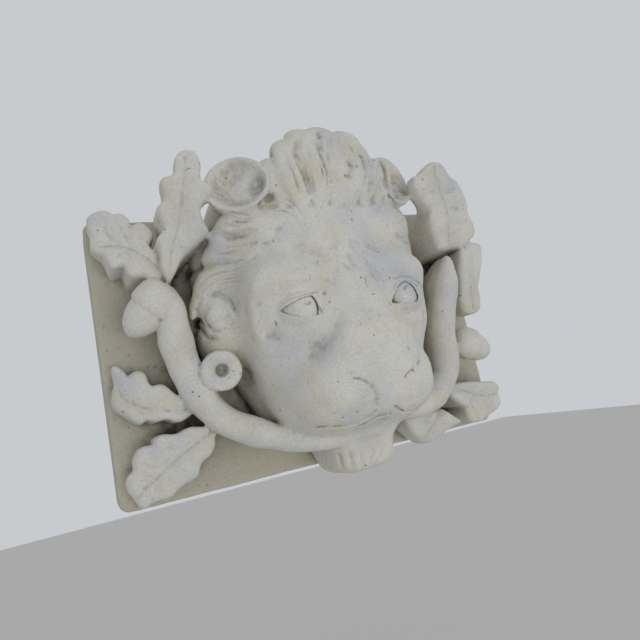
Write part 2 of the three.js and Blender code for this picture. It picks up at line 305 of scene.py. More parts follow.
# Locks of the mane, from the hairline back. The crown's are single, the side ones are on both sides.
mane = {
    "broad": 1.15,
    "raised": 0.62,
    "crown": [
        {"path": [(-54, 126, 140), (-64, 130, 180), (-64, 112, 216), (-56, 60, 220)], "width": 17},
        {"path": [(-34, 136, 138), (-48, 140, 188), (-42, 126, 236), (-34, 66, 240)], "width": 18},
        {"path": [(-18, 138, 136), (-14, 144, 196), (-20, 128, 250), (-4, 70, 258)], "width": 18},
        {"path": [(2, 140, 138), (18, 146, 194), (10, 134, 250), (24, 74, 264)], "width": 19},
        {"path": [(16, 140, 136), (36, 146, 190), (50, 130, 248), (54, 72, 260)], "width": 19},
        {"path": [(38, 136, 138), (62, 140, 184), (64, 126, 236), (80, 68, 246)], "width": 18},
        {"path": [(54, 126, 140), (82, 130, 182), (94, 110, 222), (98, 62, 226)], "width": 17},
    ],
    "sides": [
        {"path": [(62, 132, 131), (92, 123, 135), (128, 104, 138), (156, 78, 120)], "width": 16},
        {"path": [(74, 130, 114), (106, 116, 121), (138, 88, 118), (168, 60, 94)], "width": 15},
        {"path": [(88, 126, 92), (116, 106, 98), (148, 76, 92), (180, 48, 62)], "width": 14},
        {"path": [(106, 110, 70), (132, 84, 78), (160, 62, 70), (186, 42, 30)], "width": 15},
        {"path": [(112, 84, 46), (136, 68, 54), (156, 60, 36), (152, 46, 2)], "width": 19},
    ],
}


def lockForm(path, width):
    start, finish = path[1], path[2]
    front = ((start[0] + finish[0]) / 400, 1, max(0, (start[2] + finish[2]) / 400 - 0.3))
    stemForm(path, lambda u: width * mane["broad"] * roundedEnds(u, 0.35),
             lambda u: width * mane["raised"] * roundedEnds(u, 0.45), front=front, steps=48, sides=24)


def allLocks():
    for lock in mane["crown"]:
        yield lock["path"], lock["width"]
    for lock in mane["sides"]:
        yield lock["path"], lock["width"]
        yield [mirrored(p) for p in lock["path"]], lock["width"]


# Oak leaves. The spine is base, middle and tip as x, depth, z. The outline and veins are x, z.
leaves = {
    "tallLeft": {  # beside the left ear
        "spine": [(-206, 66, 68), (-196, 88, 160), (-180, 144, 220)],
        "rooted": 0.5,
        "outline": [
            (-213, 77), (-220, 94), (-219, 111), (-221, 121), (-222, 128), (-217, 134), (-211, 137),
            (-213, 144), (-215, 152), (-218, 157), (-219, 162), (-216, 165), (-210, 168),
            (-209, 172), (-211, 179), (-213, 185), (-212, 190), (-208, 193), (-203, 193),
            (-197, 194), (-195, 197), (-194, 202), (-195, 207), (-193, 213), (-187, 219),
            (-182, 221), (-175, 221), (-170, 218), (-165, 213), (-163, 207), (-162, 201),
            (-165, 194), (-164, 188), (-157, 185), (-151, 181), (-149, 176), (-152, 170),
            (-159, 166), (-165, 160), (-166, 153), (-160, 142), (-155, 134), (-156, 129),
            (-163, 127), (-167, 123), (-174, 118), (-183, 112), (-191, 105), (-197, 98), (-202, 89),
            (-208, 79)],
        "veins": [
            [(-210, 82), (-207, 102), (-204, 116), (-195, 138), (-190, 160), (-187, 175),
             (-184, 192), (-182, 212)],
            [(-190, 160), (-191, 172), (-196, 181), (-203, 187)],
            [(-192, 153), (-201, 160), (-213, 161)],
            [(-195, 137), (-206, 136), (-218, 129)],
            [(-190, 160), (-181, 172), (-165, 180), (-156, 181)],
            [(-195, 138), (-183, 147), (-171, 148)],
            [(-199, 125), (-185, 131), (-167, 132), (-158, 133)],
            [(-185, 192), (-191, 197), (-193, 201)],
            [(-184, 195), (-177, 202), (-168, 206)],
        ],
    },
    "cornerLeaf": {  # in the plate's upper corner
        "spine": [(-214, 56, 82), (-238, 74, 122), (-290, 28, 160)],
        "rooted": 0.8,
        "outline": [
            (-215, 75), (-229, 75), (-234, 83), (-238, 90), (-247, 88), (-254, 88), (-258, 94),
            (-261, 106), (-265, 105), (-273, 102), (-277, 107), (-279, 116), (-282, 125),
            (-288, 130), (-294, 135), (-295, 143), (-293, 154), (-296, 166), (-295, 179),
            (-289, 185), (-282, 189), (-273, 191), (-267, 188), (-263, 182), (-259, 184),
            (-254, 184), (-249, 180), (-245, 174), (-244, 166), (-248, 158), (-244, 161),
            (-239, 164), (-233, 165), (-227, 160), (-222, 152), (-219, 143), (-221, 138),
            (-227, 133), (-227, 128), (-222, 121), (-218, 108), (-215, 97), (-214, 87)],
        "veins": [
            [(-215, 81), (-223, 99), (-235, 115), (-251, 127), (-267, 135), (-290, 136)],
            [(-251, 127), (-253, 141), (-257, 163), (-256, 176)],
            [(-267, 135), (-272, 150), (-276, 174)],
            [(-235, 115), (-235, 132), (-234, 148), (-234, 159)],
            [(-235, 115), (-242, 105), (-250, 95)],
            [(-255, 129), (-264, 119), (-272, 109)],
        ],
    },
    "lowLeftLeaf": {  # below the left acorn
        "spine": [(-194, 40, -76), (-246, 50, -68), (-296, 10, -18)],
        "rooted": 0.8,
        "outline": [
            (-197, -85), (-205, -76), (-213, -68), (-222, -58), (-228, -49), (-234, -44),
            (-239, -44), (-246, -45), (-249, -41), (-250, -32), (-252, -26), (-257, -22),
            (-264, -22), (-269, -25), (-272, -28), (-273, -21), (-280, -12), (-287, -9),
            (-289, -17), (-288, -33), (-292, -44), (-294, -55), (-292, -66), (-283, -73),
            (-272, -84), (-266, -89), (-262, -88), (-259, -85), (-254, -87), (-250, -90),
            (-244, -89), (-238, -88), (-233, -89), (-226, -94), (-220, -95), (-212, -92),
            (-206, -89)],
        "veins": [
            [(-197, -85), (-226, -80), (-247, -75), (-263, -68), (-278, -56), (-286, -39),
             (-286, -22)],
            [(-254, -72), (-255, -58), (-260, -39), (-260, -29)],
            [(-231, -79), (-231, -68), (-233, -56)],
            [(-269, -64), (-273, -48), (-273, -36)],
            [(-236, -78), (-234, -86)],
            [(-254, -72), (-253, -84)],
            [(-265, -66), (-268, -84)],
        ],
    },
    "lowCornerLeaf": {  # in the plate's lower corner
        "spine": [(-178, 42, -114), (-226, 60, -130), (-290, 8, -172)],
        "rooted": 0.8,
        "outline": [
            (-175, -114), (-188, -107), (-208, -103), (-216, -104), (-224, -108), (-231, -108),
            (-241, -105), (-249, -106), (-255, -109), (-254, -116), (-263, -114), (-272, -117),
            (-278, -125), (-280, -133), (-279, -141), (-287, -146), (-290, -153), (-289, -164),
            (-284, -173), (-279, -185), (-271, -189), (-264, -183), (-255, -181), (-245, -182),
            (-239, -178), (-228, -170), (-217, -167), (-208, -162), (-206, -154), (-203, -148),
            (-190, -141), (-183, -130), (-181, -119)],
        "veins": [
            [(-183, -113), (-202, -123), (-226, -134), (-246, -148), (-266, -161), (-280, -174)],
            [(-226, -134), (-238, -123), (-248, -113)],
            [(-246, -148), (-261, -140), (-274, -136)],
            [(-259, -156), (-274, -154), (-284, -155)],
            [(-202, -123), (-206, -113), (-214, -108)],
            [(-202, -123), (-198, -132), (-195, -138)],
            [(-226, -134), (-217, -147), (-212, -157)],
            [(-249, -150), (-242, -161), (-233, -167)],
            [(-261, -158), (-259, -171), (-253, -179)],
        ],
    },
    "tallRight": {  # beside the right ear
        "spine": [(216, 72, 68), (218, 104, 150), (172, 146, 212)],
        "rooted": 0.5,
        "outline": [
            (203, 89), (194, 105), (185, 121), (182, 135), (183, 145), (175, 149), (162, 155),
            (148, 165), (142, 176), (141, 186), (153, 189), (165, 199), (179, 209), (189, 212),
            (201, 211), (213, 205), (221, 196), (227, 192), (236, 191), (248, 182), (259, 168),
            (265, 155), (266, 142), (274, 132), (280, 123), (282, 112), (278, 106), (269, 101),
            (260, 96), (250, 92), (235, 92), (220, 89)],
        "veins": [
            [(227, 95), (223, 114), (221, 134), (214, 151), (201, 168), (192, 184), (188, 202)],
            [(221, 134), (207, 136), (193, 139)],
            [(201, 168), (185, 169), (169, 167)],
            [(223, 127), (243, 126), (262, 120)],
            [(217, 146), (238, 147), (258, 143)],
            [(206, 163), (222, 171), (242, 178)],
            [(193, 181), (204, 191), (213, 198)],
        ],
    },
    "sideLeaf": {  # over the right edge
        "spine": [(228, 74, 96), (262, 106, 60), (266, 42, -18)],
        "rooted": 0.8,
        "outline": [
            (257, 95), (272, 101), (290, 96), (291, 89), (286, 66), (280, 48), (275, 27), (281, 12),
            (284, -6), (277, -13), (257, -14), (245, -11), (233, 10), (233, 55), (246, 86)],
        "veins": [
            [(257, 88), (254, 54), (256, 24), (267, -7)],
            [(253, 46), (273, 57)],
            [(256, 24), (272, 26)],
        ],
    },
    "lowRightLeaf": {  # below the right acorn
        "spine": [(186, 44, -104), (250, 56, -138), (304, 22, -154)],
        "rooted": 0.8,
        "outline": [
            (193, -120), (211, -118), (238, -121), (261, -125), (291, -128), (302, -135),
            (302, -142), (300, -157), (295, -169), (282, -175), (258, -180), (232, -185),
            (214, -184), (208, -177), (205, -170), (207, -156), (198, -151), (189, -142),
            (182, -133)],
        "veins": [
            [(197, -124), (221, -137), (254, -148), (299, -150)],
            [(221, -137), (241, -129), (260, -128)],
            [(254, -148), (278, -141), (296, -135)],
            [(221, -137), (219, -152), (221, -173)],
            [(248, -146), (253, -160), (263, -176)],
        ],
    },
    "chinLeaf": {  # hangs below the plate
        "spine": [(156, 48, -130), (142, 60, -164), (120, 36, -200)],
        "rooted": 0.8,
        "outline": [
            (93, -152), (98, -168), (110, -185), (124, -196), (135, -196), (149, -191), (164, -183),
            (181, -179), (194, -178), (182, -168), (170, -158), (160, -150), (136, -151),
            (113, -151)],
        "veins": [
            [(154, -153), (142, -166), (131, -178), (121, -190)],
            [(139, -169), (120, -163), (103, -160)],
            [(139, -169), (156, -172), (170, -177)],
            [(129, -180), (118, -179)],
            [(129, -180), (140, -188)],
        ],
    },
}


leafCut = {"front": 9, "edge": 8, "free": 20, "vein": 1.6, "valley": 4.5, "cell": 1.7}


def densified(points, step=3.0, closed=False):
    points = np.asarray(points, float)
    ends = np.roll(points, -1, 0) if closed else points[1:]
    pieces = []
    for a, b in zip(points, ends):
        count = max(1, int(np.ceil(np.linalg.norm(b - a) / step)))
        pieces.append(a + (b - a) * (np.arange(count) / count)[:, None])
    if not closed:
        pieces.append(points[-1:])
    return np.vstack(pieces)


def rounded(points, step, closed):
    # the same line with its corners eased
    line = densified(points, step, closed)
    for _ in range(3):
        before, after = np.roll(line, 1, 0), np.roll(line, -1, 0)
        eased = (before + 2 * line + after) / 4
        if not closed:
            eased[0], eased[-1] = line[0], line[-1]
        line = eased
    return line


def distanceToLine(points, line, closed=False):
    # nearest distance, the nearest place on the line, and how far along it lies from 0 to 1
    starts = line
    stops = np.roll(line, -1, 0)
    if not closed:
        starts, stops = line[:-1], line[1:]
    best = np.full(len(points), 1e9)
    spot = np.zeros_like(points)
    share = np.zeros(len(points))
    for k, (a, b) in enumerate(zip(starts, stops)):
        side = b - a
        t = np.clip(((points - a) @ side) / max(side @ side, 1e-12), 0, 1)
        on = a + t[:, None] * side
        away = np.linalg.norm(points - on, axis=1)
        nearer = away < best
        best[nearer] = away[nearer]
        spot[nearer] = on[nearer]
        share[nearer] = (k + t[nearer]) / len(starts)
    return best, spot, share


def insideOutline(points, outline):
    inside = np.zeros(len(points), bool)
    for a, b in zip(outline, np.roll(outline, -1, 0)):
        spans = (a[1] > points[:, 1]) != (b[1] > points[:, 1])
        rise = b[1] - a[1] if b[1] != a[1] else 1e-9
        crossing = (b[0] - a[0]) * (points[:, 1] - a[1]) / rise + a[0]
        inside ^= spans & (points[:, 0] < crossing)
    return inside


def sheetDepth(leaf, points):
    # depth of the leaf's sheet and the share of its length, at x, z
    t = np.linspace(0, 1, 41)[:, None]
    a, b, c = [np.array(p, float) for p in leaf["spine"]]
    spine = (1 - t) ** 2 * a + 2 * t * (1 - t) * b + t**2 * c
    away = (points[:, :1] - spine[:, 0]) ** 2 + (points[:, 1:] - spine[:, 2]) ** 2
    weight = np.exp(-(away - away.min(1)[:, None]) / (2 * 14**2))
    weight /= weight.sum(1)[:, None]
    return weight @ spine[:, 1], weight @ t[:, 0]


def leafForm(leaf):
    outline = rounded(leaf["outline"], 2.0, True)
    cell = leafCut["cell"]
    low, high = outline.min(0) - 2 * cell, outline.max(0) + 2 * cell
    cells = np.ceil((high - low) / cell).astype(int)
    form = bmesh.new()
    bmesh.ops.create_grid(form, x_segments=int(cells[0]), y_segments=int(cells[1]), size=0.5)
    flat = np.array([v.co for v in form.verts])[:, :2]
    flat = low + (flat - flat.min(0)) / (flat.max(0) - flat.min(0)) * (high - low)
    edge, nearest, _ = distanceToLine(flat, outline, True)
    inside = insideOutline(flat, outline)
    form.verts.index_update()
    spare = [f for f in form.faces if not any(inside[v.index] for v in f.verts)]
    flat[~inside] = nearest[~inside]
    edge[~inside] = 0
    sheet, share = sheetDepth(leaf, flat)
    roundness = np.sqrt(1 - (1 - np.clip(edge / leafCut["edge"], 0, 1)) ** 2)
    height = leafCut["front"] * (0.25 + 0.75 * roundness) + 2.5 * (1 - np.exp(-edge / 14))
    sunk = np.zeros(len(flat))
    for k, vein in enumerate(leaf["veins"]):
        away, _, along = distanceToLine(flat, rounded(vein, 4.0, False))
        fade = np.clip(1.2 - along, 0, 1) if k else np.ones(len(flat))
        valley = leafCut["valley"] * (1.0 if k == 0 else 0.75) * np.exp(-((away / 7) ** 2))
        vein_ = leafCut["vein"] * (1.0 if k == 0 else 0.35) * np.exp(-((away / 1.9) ** 2))
        sunk = np.maximum(sunk, fade * (valley + vein_))
    height -= sunk
    # the stalk end sinks into the stem, the free part's back lifts clear
    lift = smoothStep(share, leaf["rooted"] - 0.3, leaf["rooted"] + 0.2)
    back = -(sheet + 6) * (1 - lift) - leafCut["free"] * lift * (0.55 + 0.45 * roundness)
    front = toFrame(np.stack([flat[:, 0], sheet + height, flat[:, 1]], 1))
    rear = toFrame(np.stack([flat[:, 0], sheet + back, flat[:, 1]], 1))
    moveTo(form, rear)
    spot = form.verts.layers.int.new("spot")
    for vert in form.verts:
        vert[spot] = vert.index
    bmesh.ops.delete(form, geom=spare, context="FACES")
    grown = bmesh.ops.extrude_face_region(form, geom=form.faces[:], use_keep_orig=True)
    for vert in grown["geom"]:
        if isinstance(vert, bmesh.types.BMVert):
            vert.co = front[vert[spot]]
    bmesh.ops.remove_doubles(form, verts=form.verts, dist=1e-6)
    addForm(form)


plateForm()
headForm()
branchForm()
acornForm((-214, 70, 74), (-272, 40, 14), 27, 80)
acornForm((214, 62, -50), (287, 50, -84))
buttonForm()
for side in (-1, 1):
    earForm(side)
    eyeForm(side)
for path, width in allLocks():
    lockForm(path, width)
for leaf in leaves.values():
    leafForm(leaf)
print("forms roughed out")


def evaluated(piece):
    graph = bpy.context.evaluated_depsgraph_get()
    return bpy.data.meshes.new_from_object(piece.evaluated_get(graph))


def newPiece(name, mesh):
    piece = bpy.data.objects.new(name, mesh)
    bpy.context.scene.collection.objects.link(piece)
    return piece


roughMesh = bpy.data.meshes.new("lionMask")
block.to_mesh(roughMesh)
block.free()
lionMask = newPiece("lionMask", roughMesh)
fuse = lionMask.modifiers.new("fuse", "REMESH")
fuse.mode = "VOXEL"
fuse.voxel_size = stoneMesh["voxel"] / 1000
lionMask.data = evaluated(lionMask)
lionMask.modifiers.clear()
print("forms fused", len(lionMask.data.vertices), "points")


class Stone:
    # the skin as arrays, in millimetres, with its own normals and a tree for placing strokes
    def __init__(self, mesh):
        self.mesh = mesh
        self.points = np.empty(len(mesh.vertices) * 3)
        mesh.vertices.foreach_get("co", self.points)
        self.points = self.points.reshape(-1, 3) * 1000
        edges = np.empty(len(mesh.edges) * 2, int)
        mesh.edges.foreach_get("vertices", edges)
        self.edges = edges.reshape(-1, 2)
        self.ties = np.bincount(self.edges.ravel(), minlength=len(self.points))
        self.refresh()

    def refresh(self):
        self.mesh.vertices.foreach_set("co", (self.points / 1000).ravel())
        self.mesh.update()
        normals = np.empty(len(self.points) * 3, np.float32)
        self.mesh.vertex_normals.foreach_get("vector", normals)
        self.normals = normals.reshape(-1, 3).astype(float)

    def seeTree(self):
        self.refresh()
        faces = [p.vertices[:] for p in self.mesh.polygons]
        self.tree = BVHTree.FromPolygons(self.points.tolist(), faces)

    def average(self, values):
        total = np.zeros_like(values)
        a, b = self.edges[:, 0], self.edges[:, 1]
        columns = values.reshape(len(values), -1)
        summed = total.reshape(len(values), -1)
        for k in range(columns.shape[1]):
            summed[:, k] = np.bincount(a, columns[b, k], len(values))
            summed[:, k] += np.bincount(b, columns[a, k], len(values))
            summed[:, k] /= np.maximum(self.ties, 1)
        return total

    def smoothed(self, rounds, strength=0.5):
        eased = self.points.copy()
        for _ in range(rounds):
            eased += (self.average(eased) - eased) * strength
        return eased

    def near(self, low, high):
        inside = np.ones(len(self.points), bool)
        for k in range(3):
            inside &= (self.points[:, k] > low[k]) & (self.points[:, k] < high[k])
        return np.flatnonzero(inside)

    def stroke(self, line, width, depth, taper=0.25, sharp=2.0, towards=None):
        # cuts a furrow along the line, or raises a ridge where depth is below zero
        line = np.asarray(line, float)
        if len(line) < 2:
            return
        chosen = self.near(line.min(0) - width, line.max(0) + width)
        if not len(chosen):
            return
        away, _, along = distanceToLine(self.points[chosen], line)
        fall = np.clip(1 - (away / width) ** 2, 0, 1) ** sharp
        fall *= np.clip(np.minimum(along, 1 - along) / taper, 0, 1) ** 0.7 if taper else 1
        way = self.normals[chosen] if towards is None else -np.asarray(towards, float)
        self.points[chosen] -= way * (fall * depth)[:, None]

    def press(self, centre, radius, depth, stretch=None, towards=None):
        # a soft hollow, or a swelling where depth is below zero
        centre = np.asarray(centre, float)
        radius = np.broadcast_to(np.asarray(radius, float), 3)
        chosen = self.near(centre - radius, centre + radius)
        away = np.linalg.norm((self.points[chosen] - centre) / radius, axis=1)
        fall = np.clip(1 - away**2, 0, 1) ** 2
        way = self.normals[chosen] if towards is None else -np.asarray(towards, float)
        self.points[chosen] -= way * (fall * depth)[:, None]

    def facet(self, centre, normal, radius, strength=0.8):
        # planes off what stands above a flat place
        centre = np.asarray(centre, float)
        normal = np.asarray(normal, float) / np.linalg.norm(normal)
        chosen = self.near(centre - radius, centre + radius)
        from_ = self.points[chosen] - centre
        above = from_ @ normal
        flatAway = np.linalg.norm(from_ - above[:, None] * normal, axis=1)
        fall = smoothStep(-flatAway, -radius, -0.6 * radius) * (np.abs(above) < radius * 0.5)
        self.points[chosen] -= normal * (np.maximum(above, 0) * fall * strength)[:, None]


stone = Stone(lionMask.data)


def lookAlong(u, v):
    way = (np.array(view["axis"]) * view["focal"]
           + np.array(view["right"]) * (u - view["size"] / 2)
           - np.array(view["up"]) * (v - view["size"] / 2))
    return way / np.linalg.norm(way)


def seen(pixels, step=2.0):
    # where a line drawn on the picture falls on the stone
    start = Vector(np.array(view["place"]) * 1000)
    hits = []
    for u, v in densified(pixels, step):
        hit = stone.tree.ray_cast(start, Vector(lookAlong(u, v)))[0]
        if hit is not None:
            hits.append(hit)
    hits = np.array(hits)
    if len(hits) < 3:
        return hits
    middle = np.median(hits, 0)
    spread = np.linalg.norm(hits - middle, axis=1)
    jumps = np.linalg.norm(np.diff(hits, axis=0), axis=1)
    keep = spread < np.median(spread) * 4 + 12
    keep[1:] &= (jumps < 14) | (jumps < np.median(jumps) * 4)
    return hits[keep]


def toPicture(points):
    # where places on the stone show in the picture
    away = np.asarray(points) / 1000 - np.array(view["place"])
    ahead = away @ np.array(view["axis"])
    u = view["size"] / 2 + view["focal"] * (away @ np.array(view["right"])) / ahead
    v = view["size"] / 2 - view["focal"] * (away @ np.array(view["up"])) / ahead
    return np.stack([u, v], 1)


def onStone(line, reach=40):
    # the line moved onto the nearest stone
    found = []
    for point in np.asarray(line, float):
        spot = stone.tree.find_nearest(Vector(point), reach)[0]
        if spot is not None:
            found.append(spot)
    return np.array(found)


def otherSide(line):
    return onStone(np.asarray(line) * (-1, 1, 1))


def cut(pixels, width, depth, both=False, **more):
    line = seen(pixels)
    if len(line) < 2:
        return
    stone.stroke(line, width, depth, **more)
    if both:
        stone.stroke(otherSide(line), width, depth, **more)


def raiseRidge(pixels, width, height, both=False, **more):
    cut(pixels, width, -height, both, **more)


def hollow(pixel, radius, depth, both=False):
    spot = seen([pixel, pixel])
    if len(spot):
        stone.press(spot[0], radius, depth)
        if both:
            stone.press(otherSide(spot[:1])[0], radius, depth)


stone.points = stone.smoothed(2, 0.5)
stone.seeTree()
print("skin ready")

# Carving, from the broad forms to the small ones. Lines are drawn on the picture, in pixels.
def inHair(points):
    # the mane: above the hairline and beside the face
    top = smoothStep(points[:, 2], 118, 140)
    beside = smoothStep(np.abs(points[:, 0]), 112, 128) * smoothStep(points[:, 2], 20, 50)
    inFront = smoothStep(-points[:, 1], 75, 95)
    return np.maximum(top, beside) * inFront * (np.abs(points[:, 0]) < 185)


def comb(first, last, count, width, depth, both=False, seed=1):
    # many fine furrows, from one line drawn on the picture to another
    rng = np.random.default_rng(seed)
    steps = np.linspace(0, 1, 24)
    a = spline(np.array([(*p, 0) for p in first], float), steps)[:, :2]
    b = spline(np.array([(*p, 0) for p in last], float), steps)[:, :2]
    for k in range(count):
        share = (k + 0.5 + rng.uniform(-0.25, 0.25)) / count
        line = a + (b - a) * share
        start, stop = sorted((rng.uniform(0, 0.3), rng.uniform(0.7, 1)))
        line = line[int(start * 23): int(stop * 23) + 1]
        cut(line, width * rng.uniform(0.8, 1.25), depth * rng.uniform(0.5, 1.2), both, taper=0.3)


# The hair is softened before its waves are cut.
hair = inHair(stone.points)[:, None]
stone.points += (stone.smoothed(14, 0.6) - stone.points) * hair
face = (1 - hair) * smoothStep(-stone.points[:, 1], 120, 150)[:, None]
stone.points += (stone.smoothed(8, 0.6) - stone.points) * face
stone.seeTree()

# Broad forms of the face.
cut([(337, 300), (337, 316), (329, 332), (316, 350), (309, 364)], 18, 5, both=True, taper=0.3)
hollow((274, 336), (16, 16, 16), 2.5, both=True)
hollow((289, 331), (22, 22, 20), -2.5, both=True)
cut([(264, 262), (256, 285), (252, 305), (256, 330), (266, 356)], 12, -2.2, both=True)
hollow((342, 398), (30, 24, 24), -3, both=True)
cut([(328, 285), (338, 270), (352, 262), (356, 240)], 16, 3, both=True, taper=0.3)
cut([(272, 296), (290, 280), (310, 272), (328, 272)], 12, -3, both=True, taper=0.35)
stone.seeTree()

# Waves of the mane.
waves = [
    ([(220, 220), (229, 222), (243, 220.5), (252, 216)], 8, 4),
    ([(209.7, 231.8), (226.9, 237.6), (240.7, 236.4), (259, 230.7)], 9, 5),
    ([(182, 288), (186, 281), (190, 273), (199, 267), (215, 264), (233, 263), (246, 257)], 9, 5),
    ([(281, 149), (285, 160), (294, 172), (299, 187), (301, 197)], 9, 4),
    ([(297, 134), (295, 150), (301, 166), (306, 176), (310, 186), (311, 196)], 9, 5),
    ([(315, 127), (318, 143), (323, 156), (325, 168), (327, 178), (330, 186)], 9, 5),
    ([(329, 126), (330, 136), (328, 150), (327, 164)], 8, 3),
    ([(345, 128), (346, 140), (354, 149), (362, 156), (366, 168), (366, 180)], 9, 4),
    ([(364, 146), (372, 164), (373, 178), (371, 190), (374, 205)], 8, 4),
    ([(381, 156), (385, 172), (387, 186), (392, 200), (398, 212)], 8, 4),
    ([(274, 194), (266, 199), (257, 208)], 8, 4),
]
for line, width, depth in waves:
    cut(line, width, depth, taper=0.3)
cut([(348, 158), (352, 166), (350, 175), (344, 178)], 9, 4.5)  # the swirl's hollow
cut([(315, 122), (317, 130), (320, 138)], 8, 4)  # notch at the top
stone.seeTree()
print("mane waved")

# Fine strands.
comb([(284, 140), (286, 158), (294, 176), (300, 200)], [(300, 128), (297, 150), (306, 172), (314, 204)], 6, 3, 1.3, seed=2)
comb([(303, 126), (299, 150), (310, 174), (316, 204)], [(316, 128), (320, 150), (328, 172), (328, 204)], 6, 3, 1.3, seed=3)
comb([(322, 126), (324, 146), (328, 166), (332, 186)], [(340, 126), (340, 144), (336, 160), (334, 186)], 6, 3, 1.2, seed=4)
comb([(346, 134), (356, 150), (362, 168), (352, 196)], [(360, 140), (374, 162), (374, 184), (374, 208)], 7, 3, 1.3, seed=5)
comb([(364, 146), (376, 164), (376, 186), (382, 212)], [(378, 154), (386, 172), (390, 192), (404, 220)], 6, 3, 1.3, seed=6)
comb([(268, 200), (282, 196), (296, 204), (306, 216)], [(262, 226), (276, 216), (290, 218), (300, 226)], 5, 3, 1.0, seed=7)
comb([(262, 214), (248, 214), (234, 212), (218, 208)], [(264, 226), (250, 230), (234, 231), (214, 226)], 5, 3, 1.2, both=True, seed=8)
comb([(264, 230), (250, 238), (232, 242), (208, 240)], [(262, 250), (246, 254), (226, 258), (200, 262)], 6, 3, 1.3, both=True, seed=9)
comb([(250, 262), (230, 268), (208, 274), (190, 290)], [(246, 284), (228, 284), (212, 290), (202, 304)], 6, 3, 1.3, both=True, seed=10)
print("strands combed")

# The ear's hollow is deepest towards the head.
hollow((256, 186), (20, 20, 22), 6, both=True)
# A curl beside the cheek.
hollow((213, 318), (20, 24, 22), -6, both=True)
for line in ([(201, 299), (196, 310), (197, 326), (206, 338), (222, 340)], [(205, 296), (218, 294), (230, 302), (236, 314)],
             [(210, 306), (206, 318), (212, 330), (222, 330)]):
    cut(line, 6, 3.5, both=True, taper=0.2)
# The tuft of the chin.
for line in ([(338, 452), (342, 470)], [(350, 449), (352, 472)], [(362, 447), (362, 470)], [(374, 445), (371, 467)],
             [(385, 443), (381, 462)]):
    cut(line, 6, 2.5, taper=0.3)

# Frown above the nose.
cut([(334, 258), (344, 264), (351.5, 270)], 6, 1.8)

# Nose and mouth.
cut([(389, 307), (398, 318), (409, 332), (420, 346)], 5, 1.4)
print("face carved")
stone.refresh()
stone.seeTree()

# Worn by hand and weather: the whole surface is slightly uneven.
wear = {"broad": 0.8, "fine": 0.3}
uneven = np.array([noise.noise(Vector(p / 30)) * wear["broad"] + noise.noise(Vector(p / 8)) * wear["fine"]
                   for p in stone.points])
front = smoothStep(-stone.points[:, 1], 8, 30)
stone.points += stone.normals * (uneven * front)[:, None]
stone.refresh()

# Fewer triangles where the stone is plain.
thin = lionMask.modifiers.new("thin", "DECIMATE")
thin.ratio = stoneMesh["triangles"] / (2 * len(lionMask.data.polygons))
dense = lionMask.data
lionMask.data = evaluated(lionMask)
lionMask.modifiers.clear()
bpy.data.meshes.remove(dense)
print("thinned to", len(lionMask.data.polygons), "faces")

# The fine places are divided again: centre as x, depth, z, and radius.
finePlaces = [
    ((-75, 150, 8), 42),
    ((75, 150, 8), 42),
    ((0, 165, -100), 40),
    ((0, 130, -140), 52),
]


def divideFinePlaces():
    fine = bmesh.new()
    fine.from_mesh(lionMask.data)
    for _ in range(2):
        chosen = set()
        for centre, radius in finePlaces:
            middle = place(*centre)
            near = [v for v in fine.verts if (v.co - middle).length < radius / 1000]
            for vert in near:
                for edge in vert.link_edges:
                    if edge.calc_length() > stoneMesh["fineEdge"] * 1.4 / 1000:
                        chosen.add(edge)
        bmesh.ops.subdivide_edges(fine, edges=list(chosen), cuts=1)
        bmesh.ops.triangulate(fine, faces=[f for f in fine.faces if len(f.verts) > 3])
    fine.to_mesh(lionMask.data)
    fine.free()


divideFinePlaces()
stone = Stone(lionMask.data)
closeBy = np.zeros(len(stone.points), bool)
for centre, radius in finePlaces:
    middle = np.array(place(*centre)) * 1000
    closeBy |= np.linalg.norm(stone.points - middle, axis=1) < radius
stone.points[closeBy] = stone.smoothed(3, 0.5)[closeBy]
stone.seeTree()
print("fine places divided", len(lionMask.data.polygons), "faces")


# Eyes. Each opening is cut down to the ball, then the lids, the pupil and the tear duct follow.
def onBall(opening, side, sink=0.0):
    outline = rounded(opening, 1.0, True)
    x, depth, z = eye["place"]
    centre = np.array(place(side * x, depth, z)) * 1000
    near = np.flatnonzero(np.linalg.norm(stone.points - centre, axis=1) < 48)
    near = near[insideOutline(toPicture(stone.points[near]), outline)]
    start = np.array(view["place"]) * 1000
    way = stone.points[near] - start
    way /= np.linalg.norm(way, axis=1)[:, None]
    toCentre = centre - start
    along = way @ toCentre
    short = toCentre @ toCentre - along**2
    radius = eye["ball"] - sink
    half = np.sqrt(np.maximum(radius**2 - short, 0))
    target = start + way * (along - half)[:, None]
    reached = (short < radius**2) & ((stone.points[near] - target) @ toCentre < 0)
    stone.points[near[reached]] = target[reached]


leftOpening = [(279.5, 311.5), (285, 307.5), (292, 303), (300, 299), (307, 296.5), (313.5, 295.4), (317.5, 301),
               (321.4, 311), (320, 313.8), (311, 316), (301.5, 316.8), (290, 315)]
rightOpening = [(391.5, 302.5), (394, 295), (397.3, 288.5), (401, 283.5), (405.7, 281), (411, 282), (415.8, 286),
                (420, 292.5), (419.5, 297.5), (415, 301.5), (408.5, 303.3), (401, 302.5), (395, 303)]
onBall(leftOpening, -1)
onBall(rightOpening, 1)
stone.seeTree()
cut([(281.6, 303), (292, 297.5), (305, 293.5), (320.6, 291.6)], 2.6, 1.6, taper=0.15)  # crease above
cut([(279, 312), (285, 307), (292, 302.6), (300, 298.6), (307, 296), (313.5, 294.8)], 2.2, 1.4, taper=0.1)
cut([(313.8, 295.4), (317.5, 301), (321.4, 311), (321, 314)], 2.2, 2.2, taper=0.1)
cut([(282, 313.5), (290, 315.8), (301.5, 317.4), (312, 316.4), (321, 314.4)], 2, 1.0, taper=0.15)
cut([(304, 302), (307, 304), (310, 303), (312, 300.5)], 3.0, 3.4, taper=0.1)  # pupil
